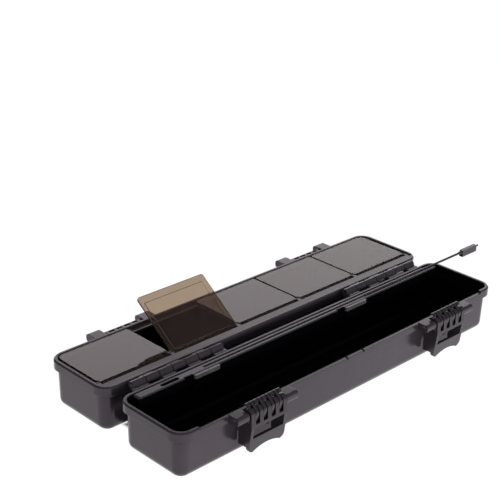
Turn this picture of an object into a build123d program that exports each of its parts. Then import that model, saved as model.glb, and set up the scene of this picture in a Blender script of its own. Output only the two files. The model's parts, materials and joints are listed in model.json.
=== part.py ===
from build123d import *
from math import acos, atan2, cos, degrees, hypot, radians, sin
import os

# Overall sizes in millimetres: X runs along the box, the front is -Y, the underside is Z = 0
boxLength = 250.0
boxWidth = 47.6
halfHeight = 27.6
cornerRadius = 8.5
flangeHeight = 6.5
flangeOverhang = 2.0
flangeChamfer = 1.4
flangeTopChamfer = 0.7
wallDraft = 0.8
bottomEdgeRadius = 4.5

# Walls and the step inside each half
rimWall = 2.0
bodyWall = 2.2
floorThickness = 1.8
stepDepth = 5.5
innerEdgeChamfer = 1.6

# Gaps between pieces
rimGap = 0.2
seatGap = 0.3
runningGap = 0.3
fixedFit = 0.02
runningFit = 0.06

# Hinges behind the rear rim
hingeOffset = 4.6
hingeFromEnd = 44.5
hingeLength = 62.0
knuckleCount = 7
knuckleRadius = 2.1
knuckleGap = 0.5
hingePinRadius = 0.9
hingePinChamfer = 0.225
hingeArmDepth = 4.6

# Lowered part of the front rim and the sunk field on the lid's outside
rimRecessFromEnd = 13.0
rimRecessDepth = 1.3
rimNotchOffset = 6.5
rimNotchWidth = 1.2
rimNotchDepth = 0.9
topPanelEndMargin = 19.0
topPanelSideMargin = 8.8
topPanelDepth = 0.3
topPanelCornerRadius = 4.25

# Latches on the front
latchFromEnd = 52.0
latchWidth = 24.8
earGap = 0.7
earWidth = 7.8
earDepth = 7.3
earHeight = 4.6
keeperEarHeight = 4.6
leverPinOut = 4.8
leverPinDown = 1.7
leverPinRadius = 0.9
linkPinOut = 5.7
linkPinDown = 5.46
linkPinRadius = 0.8
keeperOut = 2.6
keeperUp = 1.6
keeperRadius = 0.65
keeperWebUp = 0.1625
keeperWebHeight = 0.9
keeperWebWidth = 2.0

# Lever of a latch
leverWall = 1.9
leverRibWidth = 2.85
leverRibCount = 5
leverRibPitch = 5.45
leverRibRadius = 3.0
leverBarTop = 6.8
leverBarBottom = 8.8
leverBarThickness = 3.0
leverFront = 8.1
leverLipTop = 15.0
leverBottom = 23.4
leverLipFront = 6.2
leverLipThickness = 1.8
leverCornerRadius = 3.0
leverArchRise = 2.3
leverWallRear = 0.7
leverDeepRear = -1.1
leverDeepTop = 9.2
leverDeepBottom = 20.5

# Link of a latch
linkFingerWidth = 2.1
linkHookRadius = 1.7
linkHookBore = 1.0
linkArmRadius = 2.9
linkBarrelRadius = 1.35
linkBarrelHalfLength = 10.1
linkHookBarInset = 0.6
leverPinClearance = 0.35
pinPathTurn = 30.0
pinPathTurns = 3

# Compartment insert in the lid
pocketCount = 5
flapRowEndGap = 1.5
dividerWidth = 1.2
insertWall = 1.1
insertFloor = 1.0
ledgeTop = 26.9
ledgeWidth = 8.0
ledgeBevel = 1.0
pocketCornerRadius = 2.0
bossWidth = 2.4
bossRadius = 1.3

# Flaps over the compartments
flapThickness = 1.2
flapTop = 27.2
flapFreeEdge = 2.3
flapCornerRadius = 1.6
flapEndCornerRadius = 4.5
flapBarrelRadius = 1.1
flapStubRadius = 0.7
flapStubLength = 1.0
flapAxisIn = 9.4
flapPadInset = 3.0
flapPadEnd = 4.0
flapPadDepth = 0.7
ajarFlap = 2
ajarAngle = 36.0

# Rail along the rear wall with its two clips and the needle in it
railLeftFromEnd = 8.0
railRightFromEnd = 5.0
railWidth = 5.6
railTop = 27.3
railEdgeRadius = 0.8
railEndRadius = 2.2
railTaperLength = 15.0
railTaperWidth = 1.8
railNotchLength = 6.0
railNotchDepth = 1.4
dimpleAlong = 23.0
dimpleLength = 12.0
dimpleWidth = 2.4
dimpleDepth = 0.8
clipsFromEnd = (53.5, 80.5)
clipLength = 17.5
clipLip = 1.6
clipBelow = 2.0
clipEdgeRadius = 1.0
needleRadius = 0.7
needleReach = 42.5
needleTipLength = 3.5
needleTipRadius = 0.55
needleHeadLength = 14.5
needleHeadWidth = 2.6
needleHeadAbove = 1.3
needleHeadBelow = 2.9
needleNeckLength = 4.0
needleNeckRadius = 1.1
needleShaftLength = 90.0
needleGrooveAlong = 46.0
needleGrooveDepth = 0.5
needleNotchRadius = 0.78
lidNotchRadius = 1.1

# Positions that follow from the sizes
stepLevel = halfHeight - stepDepth
rimInside = boxWidth / 2 - rimWall
rimInsideLength = boxLength / 2 - rimWall
wallInside = boxWidth / 2 - flangeOverhang - bodyWall
wallInsideLength = boxLength / 2 - flangeOverhang - bodyWall
hingeY = boxWidth / 2 + hingeOffset
hingeZ = halfHeight + rimGap / 2
hingeCentre = boxLength / 2 - hingeFromEnd
latchCentre = boxLength / 2 - latchFromEnd
lidCentreY = 2 * hingeY
lidRear = lidCentreY - boxWidth / 2
lidFront = lidCentreY + boxWidth / 2
flapPitch = 2 * (rimInsideLength - flapRowEndGap) / pocketCount
flapAxisY = lidRear + flapAxisIn
flapAxisUp = flapTop - flapBarrelRadius
insertRimTop = flapTop - flapThickness - seatGap
earInner = latchWidth / 2 + earGap
earOuter = earInner + earWidth
railFront = rimInside - rimGap - railWidth
railLeft = -boxLength / 2 + railLeftFromEnd
railRight = boxLength / 2 - railRightFromEnd
clipCentres = (-boxLength / 2 + clipsFromEnd[0], boxLength / 2 - clipsFromEnd[1])
needleY = railFront + railWidth / 2
needleTipRight = boxLength / 2 + needleReach
needleHeadRight = needleTipRight - needleTipLength
needleHeadLeft = needleHeadRight - needleHeadLength
needleShoulder = needleHeadLeft - needleNeckLength
needleLeft = needleShoulder - needleShaftLength
needleUp = railTop - needleGrooveDepth + needleRadius


# Point in the Y-Z plane given outward from the front face and upward from the rim
def latchPoint(out, up):
    return (-boxWidth / 2 - out, halfHeight + up)


leverPin = latchPoint(leverPinOut, -leverPinDown)
linkPin = latchPoint(linkPinOut, -linkPinDown)
keeper = latchPoint(keeperOut, keeperUp)


# Outline in the Y-Z plane drawn out from one X to another
def alongX(outline, xLow, xHigh):
    return extrude(Plane.YZ.offset(xLow) * outline, amount=xHigh - xLow)


# Block between two corners
def block(x, y, z):
    size = (x[1] - x[0], y[1] - y[0], z[1] - z[0])
    middle = ((x[0] + x[1]) / 2, (y[0] + y[1]) / 2, (z[0] + z[1]) / 2)
    return Pos(*middle) * Box(*size)


# Round bar along X
def bar(centre, radius, xLow, xHigh):
    return alongX(Pos(*centre) * Circle(radius), xLow, xHigh)


# Filled outline through points of the Y-Z plane
def outlineOf(points):
    return make_face(Polyline(*points, close=True))


# Rectangle of the Y-Z plane between two corners
def panel(y, z):
    return Pos((y[0] + y[1]) / 2, (z[0] + z[1]) / 2) * Rectangle(abs(y[1] - y[0]), abs(z[1] - z[0]))


# Two discs joined by their outer tangents
def strap(first, firstRadius, second, secondRadius):
    along = atan2(second[1] - first[1], second[0] - first[0])
    spread = acos((firstRadius - secondRadius) / hypot(second[0] - first[0], second[1] - first[1]))
    corners = []
    for side in (1, -1):
        turn = (cos(along + side * spread), sin(along + side * spread))
        ends = [(first[0] + firstRadius * turn[0], first[1] + firstRadius * turn[1]),
                (second[0] + secondRadius * turn[0], second[1] + secondRadius * turn[1])]
        corners += ends[::side]
    discs = Pos(*first) * Circle(firstRadius) + Pos(*second) * Circle(secondRadius)
    return discs + outlineOf(corners)


# Flat sheet outline of one level of a shell
def levelOutline(halfLength, halfWidth, inset):
    return RectangleRounded(2 * halfLength, 2 * halfWidth, cornerRadius - inset)


# One half of the box: body, flange, floor and the stepped hollow
def halfShell():
    bodyInset = flangeOverhang + wallDraft
    foot = levelOutline(boxLength / 2 - bodyInset, boxWidth / 2 - bodyInset, bodyInset)
    flare = degrees(atan2(wallDraft, halfHeight))
    body = extrude(foot, amount=halfHeight - flangeHeight / 2, taper=-flare)
    body = fillet(body.faces().sort_by(Axis.Z)[0].edges(), bottomEdgeRadius)
    flange = extrude(levelOutline(boxLength / 2, boxWidth / 2, 0), amount=flangeHeight)
    flange = chamfer(flange.faces().sort_by(Axis.Z)[0].edges(), flangeChamfer)
    flange = chamfer(flange.faces().sort_by(Axis.Z)[-1].edges(), flangeTopChamfer)
    shell = body + Pos(0, 0, halfHeight - flangeHeight) * flange
    hollow = extrude(levelOutline(wallInsideLength, wallInside, flangeOverhang + bodyWall), amount=halfHeight)
    hollow = chamfer(hollow.faces().sort_by(Axis.Z)[0].edges(), innerEdgeChamfer)
    mouth = extrude(levelOutline(rimInsideLength, rimInside, rimWall), amount=halfHeight)
    return shell - Pos(0, 0, floorThickness) * hollow - Pos(0, 0, stepLevel) * mouth


# Left and right X of every second knuckle of one hinge
def knuckleSpans(centre, first):
    width = (hingeLength - (knuckleCount - 1) * knuckleGap) / knuckleCount
    spans = []
    for index in range(first, knuckleCount, 2):
        left = centre - hingeLength / 2 + index * (width + knuckleGap)
        spans.append((left, left + width))
    return spans


# Knuckles with their arms on the rear face of the flange
def knuckles(first, bore):
    armTop = halfHeight - rimGap / 2
    armFoot = armTop - hingeArmDepth
    root = boxWidth / 2 - rimWall / 2
    topRoot = armTop - flangeTopChamfer
    arm = outlineOf([(root, armFoot), (boxWidth / 2, armFoot), (hingeY, hingeZ - knuckleRadius),
                     (hingeY, armTop), (boxWidth / 2, armTop), (root, topRoot)])
    outline = arm + Pos(hingeY, hingeZ) * Circle(knuckleRadius) - Pos(hingeY, hingeZ) * Circle(bore)
    row = []
    for centre in (-hingeCentre, hingeCentre):
        row += [alongX(outline, left, right) for left, right in knuckleSpans(centre, first)]
    return row


# Ear outline beside a lever, at the front of the base
def baseEar():
    rearGap = leverPinClearance
    ear = panel((latchPoint(rearGap, 0)[0], latchPoint(earDepth, 0)[0]), (halfHeight - earHeight, halfHeight))
    ear = fillet(ear.vertices().group_by(Axis.X)[0], leverPinDown)
    root = panel((latchPoint(-rimWall / 2, 0)[0], latchPoint(rimWall, 0)[0]),
                 (halfHeight - earHeight, halfHeight - rimRecessDepth))
    return ear + root - Pos(*leverPin) * Circle(leverPinRadius + fixedFit)


# Ear outline at the front of the closed lid
def lidEar():
    low = halfHeight + rimGap
    ear = panel((latchPoint(-rimWall / 2, 0)[0], latchPoint(earDepth, 0)[0]), (low, low + keeperEarHeight))
    return fillet(ear.vertices().group_by(Axis.X)[0], leverPinDown)


# Left and right X of the two ears of a latch
def earSpans(centre):
    return [(centre - earOuter, centre - earInner), (centre + earInner, centre + earOuter)]


# Lower half of the box
def baseShell():
    shell = halfShell()
    recessHalf = boxLength / 2 - rimRecessFromEnd
    recess = block((-recessHalf, recessHalf), (-boxWidth / 2 - rimWall, -rimInside + rimWall / 2),
                   (halfHeight - rimRecessDepth, halfHeight + rimWall))
    shell -= recess
    for side in (-1, 1):
        notchX = side * rimNotchOffset
        shell -= block((notchX - rimNotchWidth / 2, notchX + rimNotchWidth / 2),
                       (-boxWidth / 2 - rimWall, -rimInside + rimWall / 2),
                       (halfHeight - rimRecessDepth - rimNotchDepth, halfHeight))
    shell += knuckles(0, hingePinRadius + fixedFit)
    for centre in (-latchCentre, latchCentre):
        shell += [alongX(baseEar(), left, right) for left, right in earSpans(centre)]
    return shell - needleSlot(needleNotchRadius, halfHeight + rimWall)


# Slot for the needle through the right end of a rim, from its axis up to a level
def needleSlot(radius, level):
    left = rimInsideLength - cornerRadius
    right = boxLength / 2 + rimWall
    return bar((needleY, needleUp), radius, left, right) + block(
        (left, right), (needleY - radius, needleY + radius), (needleUp, level))


# Piece of the closed lid turned to its open place
def opened(piece):
    return piece.rotate(Axis((0, hingeY, hingeZ), (1, 0, 0)), 180)


# Bar that a hook pulls on, with the webs that hold it to the lid
def keeperBar(centre):
    pieces = [bar(keeper, keeperRadius, centre - earInner - rimWall, centre + earInner + rimWall)]
    webTop = keeper[1] + keeperWebUp
    web = panel((latchPoint(-rimWall / 2, 0)[0], keeper[0]), (webTop - keeperWebHeight, webTop))
    for index in range(leverRibCount):
        middle = centre + (index - (leverRibCount - 1) / 2) * leverRibPitch
        pieces.append(alongX(web, middle - keeperWebWidth / 2, middle + keeperWebWidth / 2))
    return pieces


# Upper half of the box in its open place
def lidShell():
    shell = Pos(0, lidCentreY, 0) * halfShell()
    upright = knuckles(1, hingePinRadius + runningFit)
    shell += [opened(knuckle.mirror(Plane.XY.offset(hingeZ))) for knuckle in upright]
    for centre in (-latchCentre, latchCentre):
        shell += [opened(alongX(lidEar(), left, right)) for left, right in earSpans(centre)]
        shell += [opened(piece) for piece in keeperBar(centre)]
    field = RectangleRounded(boxLength - 2 * topPanelEndMargin, boxWidth - 2 * topPanelSideMargin,
                             topPanelCornerRadius)
    sunk = extrude(field, amount=topPanelDepth)
    shell -= Pos(0, lidCentreY, 0) * sunk
    return shell - opened(bar((needleY, needleUp), lidNotchRadius, rimInsideLength - cornerRadius, boxLength))


# Pin through all the knuckles of one hinge
def hingePin(centre):
    half = hingeLength / 2 - runningGap
    pin = bar((hingeY, hingeZ), hingePinRadius, centre - half, centre + half)
    return chamfer(pin.edges().filter_by(GeomType.CIRCLE), hingePinChamfer)


# Centres of the gaps between the ribs of a lever
def slotCentres():
    return [(index - (leverRibCount - 2) / 2) * leverRibPitch for index in range(leverRibCount - 1)]


# Side wall outline of a lever
def leverWallOutline():
    wall = outlineOf([
        latchPoint(leverPinOut - leverRibRadius, -leverPinDown),
        latchPoint(leverPinOut + leverRibRadius, -leverPinDown),
        latchPoint(leverFront, -leverBarTop),
        latchPoint(leverFront, -leverBarBottom),
        latchPoint(leverLipFront, -leverBottom),
        latchPoint(leverLipFront - leverLipThickness, -leverBottom),
        latchPoint(leverLipFront - leverLipThickness, -leverBottom + leverCornerRadius),
        latchPoint(leverDeepRear, -leverDeepBottom),
        latchPoint(leverDeepRear, -leverDeepTop),
        latchPoint(leverWallRear, -leverBarTop),
        latchPoint(leverWallRear, -linkPinDown + linkPinRadius)])
    return wall + Pos(*leverPin) * Circle(leverRibRadius)


# Outline of the ribs and the bar under them
def leverRibOutline():
    ribs = outlineOf([
        latchPoint(leverPinOut - leverRibRadius, -leverPinDown),
        latchPoint(leverPinOut + leverRibRadius, -leverPinDown),
        latchPoint(leverFront, -leverBarTop),
        latchPoint(leverFront, -leverBarBottom),
        latchPoint(leverFront - leverBarThickness, -leverBarBottom),
        latchPoint(leverPinOut - leverPinRadius, -leverBarTop)])
    return ribs + Pos(*leverPin) * Circle(leverRibRadius)


# Outline of the finger lip at the foot of a lever
def leverLipOutline():
    lean = (leverFront - leverLipFront) / (leverBottom - leverBarBottom)
    topFront = leverFront - lean * (leverLipTop - leverBarBottom)
    return outlineOf([
        latchPoint(topFront, -leverLipTop),
        latchPoint(leverLipFront, -leverBottom),
        latchPoint(leverLipFront - leverLipThickness, -leverBottom),
        latchPoint(topFront - leverLipThickness, -leverLipTop)])


# Front view of a lever: straight sides, rounded lower corners and an arched lower edge
def leverFrontShape(centre):
    tall = 2 * leverBottom
    middleUp = halfHeight - leverBottom + tall / 2
    shape = Pos(centre, middleUp) * RectangleRounded(latchWidth, tall, leverCornerRadius)
    chord = latchWidth - 2 * leverCornerRadius
    archRadius = ((chord / 2) ** 2 + leverArchRise ** 2) / (2 * leverArchRise)
    shape -= Pos(centre, halfHeight - leverBottom - archRadius + leverArchRise) * Circle(archRadius)
    depth = 2 * (leverFront + boxWidth / 2)
    return extrude(Plane.XZ * shape, amount=depth, both=True)


# Lever of a latch, the piece that the fingers pull
def latchLever(centre):
    half = latchWidth / 2
    lever = alongX(leverRibOutline(), centre - half, centre + half)
    for slot in slotCentres():
        halfSlot = (leverRibPitch - leverRibWidth) / 2
        top = halfHeight - leverPinDown + leverRibRadius + seatGap
        lever -= block((centre + slot - halfSlot, centre + slot + halfSlot),
                       (latchPoint(2 * leverFront, 0)[0], latchPoint(0, 0)[0]),
                       (halfHeight - leverBarTop, top))
    lever -= bar(linkPin, linkBarrelRadius + leverPinClearance, centre - linkBarrelHalfLength - runningGap,
                 centre + linkBarrelHalfLength + runningGap)
    lever += alongX(leverLipOutline(), centre - half, centre + half)
    for left in (centre - half, centre + half - leverWall):
        lever += alongX(leverWallOutline(), left, left + leverWall)
    lever &= leverFrontShape(centre)
    lever -= bar(leverPin, leverPinRadius + runningFit, centre - half, centre + half)
    return lever - bar(linkPin, linkPinRadius + fixedFit, centre - half, centre + half)


# Part of a ring around the link pin that the lever pin travels through
def pinPath():
    reach = hypot(leverPin[0] - linkPin[0], leverPin[1] - linkPin[1])
    clear = leverPinRadius + leverPinClearance
    start = degrees(atan2(leverPin[1] - linkPin[1], leverPin[0] - linkPin[0]))
    ring = Pos(*linkPin) * (Circle(reach + clear) - Circle(reach - clear))
    corners = [linkPin]
    for index in range(pinPathTurns + 1):
        angle = radians(start - index * pinPathTurn)
        corners.append((linkPin[0] + 2 * reach * cos(angle), linkPin[1] + 2 * reach * sin(angle)))
    return ring & outlineOf(corners)


# Side view of one finger of a link, hook at the top
def fingerOutline():
    finger = strap(keeper, linkHookRadius, leverPin, linkArmRadius)
    finger += strap(leverPin, linkArmRadius, linkPin, linkBarrelRadius)
    finger -= Pos(*leverPin) * Circle(leverPinRadius + leverPinClearance)
    finger -= Pos(*keeper) * Circle(linkHookBore)
    hookFront = latchPoint(keeperOut + linkHookBore + runningGap, 0)[0]
    finger -= panel((hookFront, 0), (0, keeper[1]))
    finger -= pinPath()
    return finger


# Side view of the bar that joins the hooks, open towards the keeper and clear of the ribs
def hookBarOutline():
    ring = Pos(*keeper) * (Circle(linkHookRadius) - Circle(linkHookBore))
    return ring - panel((keeper[0] - linkHookRadius, keeper[0] + linkHookRadius),
                        (keeper[1] - linkHookRadius, keeper[1] + keeperWebUp + runningGap))


# Link of a latch: four fingers between one barrel and one hooked bar
def latchLink(centre):
    link = bar(linkPin, linkBarrelRadius, centre - linkBarrelHalfLength, centre + linkBarrelHalfLength)
    for slot in slotCentres():
        left = centre + slot - linkFingerWidth / 2
        link += alongX(fingerOutline(), left, left + linkFingerWidth)
    half = latchWidth / 2 - linkHookBarInset
    link += alongX(hookBarOutline(), centre - half, centre + half)
    return link - bar(linkPin, linkPinRadius + runningFit, centre - latchWidth, centre + latchWidth)


# Pin that a lever turns on
def leverPinBar(centre):
    half = earOuter - runningGap
    return bar(leverPin, leverPinRadius, centre - half, centre + half)


# Pin that a link turns on
def linkPinBar(centre):
    half = latchWidth / 2 - runningGap
    return bar(linkPin, linkPinRadius, centre - half, centre + half)


# X of the lines between the compartments, both ends included
def boundaries():
    return [(index - pocketCount / 2) * flapPitch for index in range(pocketCount + 1)]


# Tray with five compartments that fills the lid
def compartmentInsert():
    inset = flangeOverhang + bodyWall + seatGap
    tray = extrude(levelOutline(wallInsideLength - seatGap, wallInside - seatGap, inset),
                   amount=insertRimTop - floorThickness)
    tray = chamfer(tray.faces().sort_by(Axis.Z)[0].edges(), innerEdgeChamfer)
    tray = Pos(0, lidCentreY, floorThickness) * tray
    rimOutline = levelOutline(rimInsideLength - rimGap, rimInside - rimGap, rimWall + rimGap)
    collar = Pos(0, lidCentreY, stepLevel) * extrude(rimOutline, amount=ledgeTop - stepLevel)
    ledgeEdge = lidRear + ledgeWidth
    low = block((-boxLength, boxLength), (ledgeEdge, 2 * lidFront), (insertRimTop, 2 * halfHeight))
    tray = tray + (collar - low)
    bevel = outlineOf([(ledgeEdge - ledgeBevel, ledgeTop), (ledgeEdge, ledgeTop - ledgeBevel),
                       (ledgeEdge + ledgeBevel, ledgeTop + ledgeBevel)])
    tray -= alongX(bevel, -boxLength, boxLength)
    lines = boundaries()
    far = lidCentreY + wallInside - seatGap - insertWall
    outerLimit = wallInsideLength - seatGap - insertWall
    for left, right in zip(lines[:-1], lines[1:]):
        low = max(left + dividerWidth / 2, -outerLimit)
        high = min(right - dividerWidth / 2, outerLimit)
        pocket = RectangleRounded(high - low, far - ledgeEdge, pocketCornerRadius)
        tray -= Pos((low + high) / 2, (ledgeEdge + far) / 2, floorThickness + insertFloor) * extrude(
            pocket, amount=halfHeight)
    axis = (flapAxisY, flapAxisUp)
    tray -= bar(axis, flapBarrelRadius + runningGap, lines[0], lines[-1])
    boss = Pos(*axis) * Circle(bossRadius)
    boss += panel((ledgeEdge - ledgeBevel, flapAxisY + bossRadius), (stepLevel, flapAxisUp))
    boss += panel((ledgeEdge - ledgeBevel, flapAxisY), (stepLevel, ledgeTop))
    boss -= panel((0, lidFront), (ledgeTop, lidFront))
    for line in lines:
        tray += alongX(boss, line - bossWidth / 2, line + bossWidth / 2)
    for line in lines:
        tray -= bar(axis, flapStubRadius + runningFit, line - bossWidth, line + bossWidth)
    return tray


# Flap over one compartment, counted from the left
def flap(number):
    middle = (boundaries()[number - 1] + boundaries()[number]) / 2
    half = (flapPitch - dividerWidth) / 2
    barrelHalf = (flapPitch - bossWidth) / 2 - runningGap
    far = lidFront - flapFreeEdge
    under = flapTop - flapThickness
    plate = block((-half, half), (flapAxisY, far), (under, flapTop))
    for place, last in ((0, 1), (-1, pocketCount)):
        corner = plate.edges().filter_by(Axis.Z).group_by(Axis.Y)[-1].sort_by(Axis.X)[place]
        plate = fillet(corner, flapEndCornerRadius if number == last else flapCornerRadius)
    notchFar = flapAxisY + bossRadius + runningGap
    for side in (-1, 1):
        notch = sorted((side * barrelHalf, side * (half + dividerWidth)))
        plate -= block(notch, (0, notchFar), (0, 2 * flapTop))
    piece = plate + bar((flapAxisY, flapAxisUp), flapBarrelRadius, -barrelHalf, barrelHalf)
    stubHalf = barrelHalf + runningGap + flapStubLength
    piece += bar((flapAxisY, flapAxisUp), flapStubRadius, -stubHalf, stubHalf)
    pad = block((-half + flapPadInset, half - flapPadInset), (notchFar, far - flapPadEnd),
                (under - flapPadDepth, under))
    piece = Pos(middle, 0, 0) * (piece + pad)
    if number == ajarFlap:
        piece = piece.rotate(Axis((0, flapAxisY, flapAxisUp), (1, 0, 0)), ajarAngle)
    return piece


# Rail on the rear step, tapered at its right end, with a groove that the needle lies in
def rearRail():
    outline = panel((railFront, railFront + railWidth), (stepLevel, railTop))
    outline = fillet(outline.vertices().group_by(Axis.Y)[-1], railEdgeRadius)
    rail = alongX(outline, railLeft, railRight)
    rail = fillet(rail.edges().filter_by(Axis.Z).group_by(Axis.X)[0], railEndRadius)
    dimple = extrude(SlotOverall(dimpleLength, dimpleWidth), amount=2 * dimpleDepth)
    rail -= Pos(railLeft + dimpleAlong, needleY, railTop - dimpleDepth) * dimple
    for centre in clipCentres:
        right = centre - clipLength / 2
        rail -= block((right - railNotchLength, right), (railFront - rimGap, railFront + railNotchDepth),
                      (stepLevel + railNotchDepth, 2 * railTop))
    rear = railFront + railWidth
    narrow = needleY + railTaperWidth / 2
    beyond = railRight + rimGap
    wedge = make_face(Polyline((railRight - railTaperLength, rear + rimGap), (beyond, rear + rimGap),
                               (beyond, narrow), (railRight, narrow),
                               (railRight - railTaperLength, rear), close=True))
    rail -= extrude(wedge, amount=2 * railTop)
    return rail - needleSlot(needleNotchRadius, 2 * railTop) - bar(
        (needleY, needleUp), needleNotchRadius, railLeft + needleGrooveAlong, railRight + rimGap)


# Clip that holds the rail to the rear wall
def railClip(centre):
    front = railFront - clipLip
    clip = panel((front, wallInside), (stepLevel - clipBelow, stepLevel))
    clip += panel((front, railFront), (stepLevel - clipBelow, railTop))
    piece = alongX(clip, centre - clipLength / 2, centre + clipLength / 2)
    outer = piece.edges().filter_by(Axis.Z).group_by(Axis.Y)[0]
    return fillet(outer, clipEdgeRadius)


# Needle that slides along the rail and out through the right end
def slideNeedle():
    steps = [(needleLeft, 0),
             (needleLeft + needleRadius, needleRadius),
             (needleShoulder, needleRadius),
             (needleHeadLeft, needleNeckRadius),
             (needleHeadRight, needleNeckRadius),
             (needleHeadRight, needleTipRadius),
             (needleTipRight - needleTipRadius, needleTipRadius),
             (needleTipRight, 0)]
    half = make_face(Polyline(*steps, close=True))
    shaft = Pos(0, needleY, needleUp) * revolve(half, Axis.X)
    head = block((needleHeadLeft, needleHeadRight),
                 (needleY - needleHeadWidth / 2, needleY + needleHeadWidth / 2),
                 (needleUp - needleHeadBelow, needleUp + needleHeadAbove))
    return shaft + head


os.makedirs("parts", exist_ok=True)
pieces = {
    "base_shell": baseShell(),
    "lid_shell": lidShell(),
    "compartment_insert": compartmentInsert(),
    "rear_rail": rearRail(),
    "slide_needle": slideNeedle(),
}
for number in range(1, pocketCount + 1):
    pieces[f"flap_{number}"] = flap(number)
for side, sign in (("left", -1), ("right", 1)):
    pieces[f"hinge_pin_{side}"] = hingePin(sign * hingeCentre)
    pieces[f"latch_lever_{side}"] = latchLever(sign * latchCentre)
    pieces[f"latch_link_{side}"] = latchLink(sign * latchCentre)
    pieces[f"lever_pin_{side}"] = leverPinBar(sign * latchCentre)
    pieces[f"link_pin_{side}"] = linkPinBar(sign * latchCentre)
for side, centre in zip(("left", "right"), clipCentres):
    pieces[f"rail_clip_{side}"] = railClip(centre)
for name, piece in pieces.items():
    export_step(piece, f"parts/{name}.step")
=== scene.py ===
import json
import math
import bpy
from mathutils import Matrix, Vector

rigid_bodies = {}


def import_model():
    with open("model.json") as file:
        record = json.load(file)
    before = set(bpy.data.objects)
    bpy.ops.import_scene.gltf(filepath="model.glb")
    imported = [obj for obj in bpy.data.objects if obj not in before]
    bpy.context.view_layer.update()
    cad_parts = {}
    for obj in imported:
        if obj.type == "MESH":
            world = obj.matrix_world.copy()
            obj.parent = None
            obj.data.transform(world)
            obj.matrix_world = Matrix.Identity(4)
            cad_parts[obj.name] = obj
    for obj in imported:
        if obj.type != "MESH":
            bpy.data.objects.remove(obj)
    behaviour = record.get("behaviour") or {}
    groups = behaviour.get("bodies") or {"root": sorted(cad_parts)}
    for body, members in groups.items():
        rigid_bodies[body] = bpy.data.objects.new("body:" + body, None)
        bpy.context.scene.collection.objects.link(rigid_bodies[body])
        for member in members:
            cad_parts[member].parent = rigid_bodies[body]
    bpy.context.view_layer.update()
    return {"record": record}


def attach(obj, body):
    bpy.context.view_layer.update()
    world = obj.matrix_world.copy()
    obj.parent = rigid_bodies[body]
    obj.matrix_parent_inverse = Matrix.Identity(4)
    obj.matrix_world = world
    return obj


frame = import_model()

mm = 0.001
print("stage: frame loaded")

# Photograph: where the camera stood, in metres, and where it looked
photoView = {
    "place": (-0.44867, -0.39036, 0.34100),
    "looking": (0.64638, 0.64628, -0.40561),
    "roll": 1.634,  # degrees, right side up
    "focalPixels": 1230.0,
    "imagePixels": 500,
    "sensorWidth": 36.0,
}


def addCamera(v):
    data = bpy.data.cameras.new("photoCamera")
    data.sensor_width = v["sensorWidth"]
    data.lens = v["focalPixels"] / v["imagePixels"] * v["sensorWidth"]
    data.clip_start = 0.01
    data.clip_end = 20.0
    camera = bpy.data.objects.new("photoCamera", data)
    ahead = Vector(v["looking"]).normalized()
    level = ahead.cross(Vector((0, 0, 1))).normalized()
    over = level.cross(ahead)
    roll = math.radians(v["roll"])
    right = level * math.cos(roll) + over * math.sin(roll)
    upward = right.cross(ahead)
    turned = Matrix((right, upward, -ahead)).transposed().to_4x4()
    camera.matrix_world = Matrix.Translation(v["place"]) @ turned
    bpy.context.collection.objects.link(camera)
    bpy.context.scene.camera = camera


addCamera(photoView)
bpy.context.scene.view_settings.view_transform = "Standard"
print("stage: camera")


# A number or vector on a socket, with the usual signs working on it
class Sock:
    def __init__(self, tree, out):
        self.tree = tree
        self.out = out

    def maths(self, how, other=None, flip=False):
        node = self.tree.nodes.new("ShaderNodeMath")
        node.operation = how
        pair = [self, other] if other is not None else [self]
        if flip:
            pair.reverse()
        for index, value in enumerate(pair):
            if isinstance(value, Sock):
                self.tree.links.new(value.out, node.inputs[index])
            else:
                node.inputs[index].default_value = value
        return Sock(self.tree, node.outputs[0])

    def __add__(self, other):
        return self.maths("ADD", other)

    __radd__ = __add__

    def __mul__(self, other):
        return self.maths("MULTIPLY", other)

    __rmul__ = __mul__

    def __sub__(self, other):
        return self.maths("SUBTRACT", other)

    def __rsub__(self, other):
        return self.maths("SUBTRACT", other, True)

    def __truediv__(self, other):
        return self.maths("DIVIDE", other)

    def __rtruediv__(self, other):
        return self.maths("DIVIDE", other, True)

    def __gt__(self, other):
        return self.maths("GREATER_THAN", other)

    def __lt__(self, other):
        return self.maths("LESS_THAN", other)

    def clamp(self):
        node = self.tree.nodes.new("ShaderNodeClamp")
        self.tree.links.new(self.out, node.inputs[0])
        return Sock(self.tree, node.outputs[0])


# One material or world, with a single method that adds any node
class Finish:
    def __init__(self, name, world=None):
        self.holder = world or bpy.data.materials.new(name)
        self.holder.use_nodes = True
        self.tree = self.holder.node_tree
        self.tree.nodes.clear()

    def node(self, kind, settings=None, out=0, **sockets):
        made = self.tree.nodes.new(kind)
        for key, value in (settings or {}).items():
            setattr(made, key, value)
        for key, value in sockets.items():
            socket = self.find(made.inputs, key)
            if isinstance(value, Sock):
                self.tree.links.new(value.out, socket)
            else:
                socket.default_value = value
        return Sock(self.tree, made.outputs[out]) if made.outputs else None

    def find(self, sockets, key):
        wanted = key.lower()
        for socket in sockets:
            plain = "".join(c for c in socket.name if c.isalnum()).lower()
            if plain == wanted and socket.enabled:
                return socket
        if wanted.startswith("in"):
            return sockets[int(wanted[2:])]
        raise KeyError(key)

    def place(self):
        return self.node("ShaderNodeTexCoord", out=3)

    def blend(self, share, first, second):
        return self.node("ShaderNodeMix", {"data_type": "RGBA"}, out=2, in0=share, in6=(*first, 1.0),
                         in7=(*second, 1.0))

    def ends(self, shader, kind="Material"):
        self.node("ShaderNodeOutput" + kind, surface=shader)
        return self.holder


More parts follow.
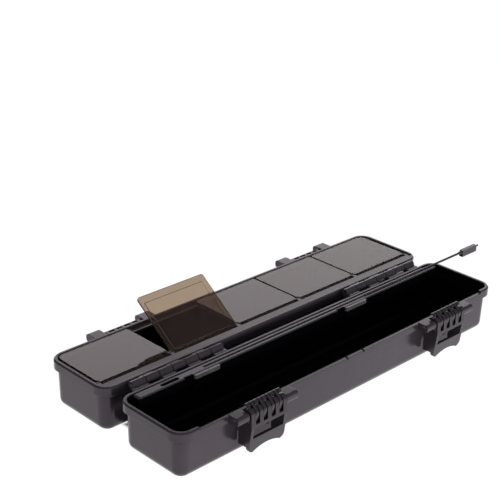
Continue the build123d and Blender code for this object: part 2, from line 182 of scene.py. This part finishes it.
# Moulded plastic: very dark grey with a touch of purple, satin, with a fine grain and handling wear
mouldedPlastic = {
    "shell": {"tone": (0.066, 0.055, 0.068), "wornTone": (0.080, 0.068, 0.082), "roughness": 0.20,
              "grain": 3600.0, "grainHeight": 0.005 * mm, "edge": 0.45 * mm},
    "insert": {"tone": (0.066, 0.055, 0.068), "wornTone": (0.080, 0.068, 0.082), "roughness": 0.19,
               "grain": 3600.0, "grainHeight": 0.005 * mm, "edge": 0.30 * mm},
    "latch": {"tone": (0.050, 0.043, 0.052), "wornTone": (0.070, 0.061, 0.072), "roughness": 0.20,
              "grain": 3800.0, "grainHeight": 0.005 * mm, "edge": 0.35 * mm},
    "rail": {"tone": (0.060, 0.051, 0.062), "wornTone": (0.076, 0.066, 0.078), "roughness": 0.17,
             "grain": 3800.0, "grainHeight": 0.004 * mm, "edge": 0.35 * mm},
    "clip": {"tone": (0.150, 0.138, 0.150), "wornTone": (0.300, 0.285, 0.300), "roughness": 0.11,
             "grain": 3800.0, "grainHeight": 0.004 * mm, "edge": 0.45 * mm},
    "needle": {"tone": (0.050, 0.047, 0.050), "wornTone": (0.080, 0.077, 0.080), "roughness": 0.20,
               "grain": 4200.0, "grainHeight": 0.003 * mm, "edge": 0.15 * mm},
}
sheen = (1.0, 0.84, 1.0, 1.0)  # colour of the reflections on plastic

# Handling wear: soft clouds that lighten the plastic; clouds and grain vary its roughness around "middle"
handling = {"clouds": 38.0, "from": 0.52, "steepness": 4.0, "cloudShare": 0.12, "grainShare": 0.08,
            "middle": 0.10, "grainStrength": 0.6, "refraction": 1.5}

# Painted shade on parts of a piece, a near-black plastic standing in for the deep shade there: the hollow of
# the base in two levels, each half length, half width and corner, or all that lies below a height
paintedShadeRegions = {
    "shell": {"low": (121.4 * mm, 20.2 * mm, 4.9 * mm), "high": (123.4 * mm, 22.2 * mm, 6.9 * mm),
              "floor": 1.5 * mm, "step": 22.0 * mm, "top": 27.0 * mm},
}
everywhere = {"low": (1.0, 1.0, 0.1), "high": (1.0, 1.0, 0.1), "floor": -1.0, "step": 0.0}  # wider than all
# Painted shade below these heights: the insert's compartments, the rail's front face and the clip's lower
# part
for piece, top in {"insert": 24.6, "rail": 26.8, "clip": 25.2}.items():
    paintedShadeRegions[piece] = {**everywhere, "top": top * mm}
# Near-black, rougher, barely shiny plastic: painted shade for the hollows and lower faces that lie in shade
paintedShadePlastic = {"tone": (0.0030, 0.0026, 0.0038), "roughness": 0.45, "shine": 0.08}

# Painted shade in the narrow gaps beside the fingers of both latches, dark lines where the gaps lie in shade:
# centre is each latch's middle, reach the pitches to each side of it, off a gap's distance from its finger's
# middle
latchGapShade = {"centre": 73.0 * mm, "pitch": 5.45 * mm, "reach": 2.0, "off": 1.2 * mm, "halfWidth": 0.28 * mm,
             "above": 21.2 * mm}


# The first coordinates of a place, as numbers
def splitOf(finish, here, count=3):
    return [finish.node("ShaderNodeSeparateXYZ", out=axis, vector=here) for axis in range(count)]


# Share that is 1 in a hollow and 0 outside it, where painted shade goes
def insideOf(finish, here, hollow):
    split = splitOf(finish, here)

    def within(halfLength, halfWidth, corner):
        along = (split[0].maths("ABSOLUTE") - (halfLength - corner)).maths("MAXIMUM", 0.0)
        across = (split[1].maths("ABSOLUTE") - (halfWidth - corner)).maths("MAXIMUM", 0.0)
        return (along * along + across * across) < corner * corner

    lower = within(*hollow["low"]) * (split[2] < hollow["step"])
    upper = within(*hollow["high"]) * (split[2] > hollow["step"]) * (split[2] < hollow["top"])
    return (lower + upper).clamp() * (split[2] > hollow["floor"])


# Share of painted shade, 1 in the narrow gaps beside a latch's fingers and 0 outside them
def gapsOf(finish, here, gaps):
    split = splitOf(finish, here)
    turns = (split[0].maths("ABSOLUTE") - gaps["centre"]) / gaps["pitch"]
    off = ((turns + gaps["reach"]).maths("FRACT") - 0.5).maths("ABSOLUTE") * gaps["pitch"]
    line = (off - gaps["off"]).maths("ABSOLUTE") < gaps["halfWidth"]
    return line * (turns.maths("ABSOLUTE") < gaps["reach"]) * (split[2] > gaps["above"])


# Share of a piece that gets painted shade, or nothing where none is painted
def paintedShadeShare(finish, here, name):
    if name in paintedShadeRegions:
        return insideOf(finish, here, paintedShadeRegions[name])
    return gapsOf(finish, here, latchGapShade) if name == "latch" else None


def plasticFinish(name, look):
    finish = Finish(name + "Plastic")
    here = finish.place()
    grain = finish.node("ShaderNodeTexNoise", vector=here, scale=look["grain"], detail=3.0, roughness=0.6)
    cloud = finish.node("ShaderNodeTexNoise", vector=here, scale=handling["clouds"], detail=4.0,
                        roughness=0.55)
    wear = ((cloud - handling["from"]) * handling["steepness"]).clamp()
    tone = finish.blend(wear, look["tone"], look["wornTone"])
    softEdge = finish.node("ShaderNodeBevel", {"samples": 4}, radius=look["edge"])
    bump = finish.node("ShaderNodeBump", strength=handling["grainStrength"], distance=look["grainHeight"],
                       height=grain, normal=softEdge)
    level = look["roughness"] - handling["middle"]
    rough = cloud * handling["cloudShare"] + grain * handling["grainShare"] + level
    skin = finish.node("ShaderNodeBsdfPrincipled", basecolor=tone, roughness=rough, normal=bump,
                       ior=handling["refraction"], speculartint=sheen)
    # Painted shade: the near-black plastic is mixed in where the piece lies in shade
    share = paintedShadeShare(finish, here, name)
    if share:
        paintedShadeSkin = finish.node("ShaderNodeBsdfPrincipled", basecolor=(*paintedShadePlastic["tone"], 1.0), normal=bump,
                          roughness=paintedShadePlastic["roughness"], speculariorlevel=paintedShadePlastic["shine"])
        skin = finish.node("ShaderNodeMixShader", in0=share, in1=skin, in2=paintedShadeSkin)
    return finish.ends(skin)


# Steel of the pins: drawn wire, lightly brushed around
steelPins = {"tone": (0.42, 0.42, 0.43), "dullTone": (0.20, 0.20, 0.21), "roughness": 0.30,
             "lines": 2600.0, "stretch": 0.05, "contrast": 1.4, "lineDepth": 0.01 * mm, "lineShare": 0.2}


def steelFinish(look):
    finish = Finish("pinSteel")
    here = finish.place()
    stretched = finish.node("ShaderNodeMapping", vector=here, scale=(look["stretch"], 1.0, 1.0))
    lines = finish.node("ShaderNodeTexNoise", vector=stretched, scale=look["lines"], detail=2.0)
    bright = (lines * look["contrast"] - (look["contrast"] - 1.0) / 2).clamp()
    tone = finish.blend(bright, look["dullTone"], look["tone"])
    bump = finish.node("ShaderNodeBump", strength=0.3, distance=look["lineDepth"], height=lines)
    skin = finish.node("ShaderNodeBsdfPrincipled", basecolor=tone, metallic=1.0,
                       roughness=lines * look["lineShare"] + look["roughness"], normal=bump)
    return finish.ends(skin)


# Smoked flaps: clear plastic with a brown tint, faint haze and moulding waves
smokedFlap = {"tint": (0.355, 0.268, 0.196), "haze": 0.02, "waves": 60.0, "waveHeight": 0.012 * mm,
              "specks": 2200.0, "speckShare": 0.05, "refraction": 1.49, "edge": 0.35 * mm}


def flapFinish(look):
    finish = Finish("smokedClear")
    here = finish.place()
    waves = finish.node("ShaderNodeTexNoise", vector=here, scale=look["waves"], detail=2.0)
    specks = finish.node("ShaderNodeTexNoise", vector=here, scale=look["specks"], detail=2.0)
    softEdge = finish.node("ShaderNodeBevel", {"samples": 4}, radius=look["edge"])
    bump = finish.node("ShaderNodeBump", strength=0.5, distance=look["waveHeight"], height=waves,
                       normal=softEdge)
    rough = specks * look["speckShare"] + look["haze"]
    skin = finish.node("ShaderNodeBsdfPrincipled", basecolor=(*look["tint"], 1.0), roughness=rough,
                       transmissionweight=1.0, ior=look["refraction"], normal=bump, speculartint=sheen)
    return finish.ends(skin)


finishes = {name: plasticFinish(name, look) for name, look in mouldedPlastic.items()}
finishes["pin"] = steelFinish(steelPins)
finishes["flap"] = flapFinish(smokedFlap)

for part in frame["record"]["subparts"]:
    node = bpy.data.objects[part["node"]]
    for slot in node.material_slots:
        slot.material = finishes[part["material_slot"]]
print("stage: finishes")

# Sunk field on the lid's outside: a pebbled grain around a bare place in the middle
lidField = {"length": 208.0 * mm, "width": 26.0 * mm, "centreY": 56.8 * mm, "level": 0.3 * mm,
            "spacing": 1.75 * mm, "pebble": 0.8 * mm, "height": 0.2 * mm, "bareLength": 60.0 * mm,
            "bareWidth": 16.0 * mm, "stray": 0.3, "smallest": 0.72,  # shares of the spacing and of the pebble
            "seed": 7}


def pebbleTree():
    tree = bpy.data.node_groups.new("pebbledField", "GeometryNodeTree")
    face = tree.interface
    face.new_socket("Geometry", in_out="OUTPUT", socket_type="NodeSocketGeometry")
    for label in ("Length", "Width", "Spacing", "Pebble", "Height", "Bare Length", "Bare Width", "Stray",
                  "Smallest"):
        face.new_socket(label, in_out="INPUT", socket_type="NodeSocketFloat")
    face.new_socket("Seed", in_out="INPUT", socket_type="NodeSocketInt")
    face.new_socket("Finish", in_out="INPUT", socket_type="NodeSocketMaterial")
    given = tree.nodes.new("NodeGroupInput")

    def add(kind, settings=None, **inputs):
        node = tree.nodes.new(kind)
        for key, value in (settings or {}).items():
            setattr(node, key, value)
        for key, value in inputs.items():
            label = int(key[2:]) if key.startswith("in") else key.replace("_", " ")
            socket = node.inputs[label]
            if isinstance(value, bpy.types.NodeSocket):
                tree.links.new(value, socket)
            else:
                socket.default_value = value
        return node

    def maths(how, first, second):
        return add("ShaderNodeMath", {"operation": how}, in0=first, in1=second).outputs[0]

    size = {socket.name: socket for socket in given.outputs}
    countX = maths("ROUND", maths("DIVIDE", size["Length"], size["Spacing"]), 0.0)
    countY = maths("ROUND", maths("DIVIDE", size["Width"], size["Spacing"]), 0.0)
    grid = add("GeometryNodeMeshGrid", Size_X=size["Length"], Size_Y=size["Width"],
               Vertices_X=countX, Vertices_Y=countY)
    place = add("ShaderNodeSeparateXYZ", Vector=add("GeometryNodeInputPosition").outputs[0])

    def near(axis, span):
        return maths("LESS_THAN", maths("ABSOLUTE", place.outputs[axis], 0.0), maths("MULTIPLY", span, 0.5))

    bare = maths("MULTIPLY", near(0, size["Bare Length"]), near(1, size["Bare Width"]))
    kept = add("GeometryNodeDeleteGeometry", {"domain": "POINT"}, Geometry=grid.outputs[0], Selection=bare)
    stray = maths("MULTIPLY", size["Spacing"], size["Stray"])
    low = add("ShaderNodeCombineXYZ", X=maths("MULTIPLY", stray, -1.0), Y=maths("MULTIPLY", stray, -1.0))
    high = add("ShaderNodeCombineXYZ", X=stray, Y=stray)
    drift = add("FunctionNodeRandomValue", {"data_type": "FLOAT_VECTOR"},
                in0=low.outputs[0], in1=high.outputs[0])
    tree.links.new(size["Seed"], drift.inputs["Seed"])
    moved = add("GeometryNodeSetPosition", Geometry=kept.outputs[0], Offset=drift.outputs[0])
    ball = add("GeometryNodeMeshIcoSphere", Radius=1.0, Subdivisions=2)
    smooth = add("GeometryNodeSetShadeSmooth", Geometry=ball.outputs[0])
    wide = add("FunctionNodeRandomValue", {"data_type": "FLOAT"}, in2=size["Smallest"], in3=1.0)
    tree.links.new(size["Seed"], wide.inputs["Seed"])
    across = maths("MULTIPLY", size["Pebble"], wide.outputs[1])
    scale = add("ShaderNodeCombineXYZ", X=across, Y=across, Z=size["Height"])
    spread = add("GeometryNodeInstanceOnPoints", Points=moved.outputs[0], Instance=smooth.outputs[0],
                 Scale=scale.outputs[0])
    solid = add("GeometryNodeRealizeInstances", Geometry=spread.outputs[0])
    coloured = add("GeometryNodeSetMaterial", Geometry=solid.outputs[0], Material=size["Finish"])
    result = tree.nodes.new("NodeGroupOutput")
    tree.links.new(coloured.outputs[0], result.inputs[0])
    return tree


# Plain mesh made by a node tree from its named inputs
def grown(name, tree, inputs):
    host = bpy.data.objects.new(name + "Host", bpy.data.meshes.new(name + "Host"))
    bpy.context.collection.objects.link(host)
    modifier = host.modifiers.new("grow", "NODES")
    modifier.node_group = tree
    for item in tree.interface.items_tree:
        if item.in_out == "INPUT":
            modifier[item.identifier] = inputs[item.name]
    bpy.context.view_layer.update()
    graph = bpy.context.evaluated_depsgraph_get()
    mesh = bpy.data.meshes.new_from_object(host.evaluated_get(graph))
    bpy.data.objects.remove(host)
    mesh.name = name
    return mesh


def addLidField(f):
    mesh = grown("lidPebbles", pebbleTree(), {
        "Length": f["length"], "Width": f["width"], "Spacing": f["spacing"], "Pebble": f["pebble"],
        "Height": f["height"], "Bare Length": f["bareLength"], "Bare Width": f["bareWidth"],
        "Stray": f["stray"], "Smallest": f["smallest"], "Seed": f["seed"], "Finish": finishes["shell"]})
    mesh.transform(Matrix.Translation((0.0, f["centreY"], f["level"])))
    piece = bpy.data.objects.new("lidPebbles", mesh)
    bpy.context.collection.objects.link(piece)
    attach(piece, "lid")
    print("stage: lid field,", len(mesh.polygons), "faces")


addLidField(lidField)

# Studio: a pale floor, a wall of light behind the box that only shows in reflections, and soft lamps above,
# in front and at the left
studio = {
    "floorTone": (0.90, 0.90, 0.90),
    "floorRoughness": (0.6, 0.7),
    "floorSize": 12.0,
    "floorDrop": 0.1 * mm,  # just under the box, so that the two don't flicker
    "floorGlow": 0.96,  # share of the floor that the camera sees as plain white
    "floorWhite": 1.05,
    "shadow": (0.108, 0.008),  # half sizes of the floor between the two halves, which gets no glow
    "shadowCentreY": 0.0284,
    "shadowSoftness": 400.0,
    "worldDiffuse": 0.15,
    "worldGlossy": 0.12,
    "worldSeen": 1.05,
    "lamps": {
        "backdrop": {"place": (2.0, 2.4, 0.9), "aim": (0.0, 0.0, 0.4), "size": (5.0, 2.0),
                     "power": 45.0, "mirrored": True},
        "topSoft": {"place": (-0.2, -0.1, 1.8), "aim": (0.0, 0.0, 0.0), "size": (1.6, 1.6),
                    "power": 3.0, "mirrored": False},
        "front": {"place": (0.2, -1.8, 0.35), "aim": (0.0, 0.0, 0.0), "size": (1.8, 0.5),
                  "power": 13.0, "mirrored": False},
        "left": {"place": (-1.8, -0.3, 0.6), "aim": (0.0, 0.0, 0.0), "size": (1.2, 1.2),
                 "power": 1.5, "mirrored": False},
    },
}


# Whether a ray comes from the camera, from a reflection or through clear plastic
def rays(finish):
    return [finish.node("ShaderNodeLightPath", out=index) for index in (0, 3, 6)]


def addFloor(s):
    half = s["floorSize"] / 2
    data = bpy.data.meshes.new("floor")
    corners = [(-half, -half, 0), (half, -half, 0), (half, half, 0), (-half, half, 0)]
    data.from_pydata(corners, [], [(0, 1, 2, 3)])
    floor = bpy.data.objects.new("floor", data)
    floor.location.z = -s["floorDrop"]
    bpy.context.collection.objects.link(floor)
    finish = Finish("paleFloor")
    here = finish.place()
    cloud = finish.node("ShaderNodeTexNoise", vector=here, scale=3.0)
    smoothest, roughest = s["floorRoughness"]
    skin = finish.node("ShaderNodeBsdfPrincipled", basecolor=(*s["floorTone"], 1.0),
                       roughness=cloud * (roughest - smoothest) + smoothest)
    white = finish.node("ShaderNodeEmission", color=(1.0, 1.0, 1.0, 1.0), strength=s["floorWhite"])
    seen, glossy, through = rays(finish)
    split = splitOf(finish, here, 2)
    beside = (split[0].maths("ABSOLUTE") - s["shadow"][0]) * s["shadowSoftness"]
    behind = ((split[1] - s["shadowCentreY"]).maths("ABSOLUTE") - s["shadow"][1]) * s["shadowSoftness"]
    share = (seen + glossy + through).clamp() * beside.maths("MAXIMUM", behind).clamp() * s["floorGlow"]
    both = finish.node("ShaderNodeMixShader", in0=share, in1=skin, in2=white)
    floor.data.materials.append(finish.ends(both))


def addWorld(s):
    world = bpy.data.worlds.new("studioWorld")
    bpy.context.scene.world = world
    finish = Finish("studioWorld", world)
    seen, glossy, through = rays(finish)
    strength = (seen + through).clamp() * (s["worldSeen"] - s["worldDiffuse"]) + s["worldDiffuse"]
    strength = strength + glossy * (s["worldGlossy"] - s["worldDiffuse"])
    finish.ends(finish.node("ShaderNodeBackground", color=(1.0, 1.0, 1.0, 1.0), strength=strength), "World")


def addLamps(s):
    for name, lamp in s["lamps"].items():
        data = bpy.data.lights.new(name, "AREA")
        data.shape = "RECTANGLE"
        data.size, data.size_y = lamp["size"]
        data.energy = lamp["power"]
        light = bpy.data.objects.new(name, data)
        light.location = lamp["place"]
        light.visible_glossy = lamp["mirrored"]
        light.visible_diffuse = not lamp["mirrored"]
        light.visible_camera = False
        light.visible_transmission = False
        aim = Vector(lamp["aim"]) - Vector(lamp["place"])
        light.rotation_euler = aim.to_track_quat("-Z", "Y").to_euler()
        bpy.context.collection.objects.link(light)


addFloor(studio)
addWorld(studio)
addLamps(studio)
print("stage: studio")
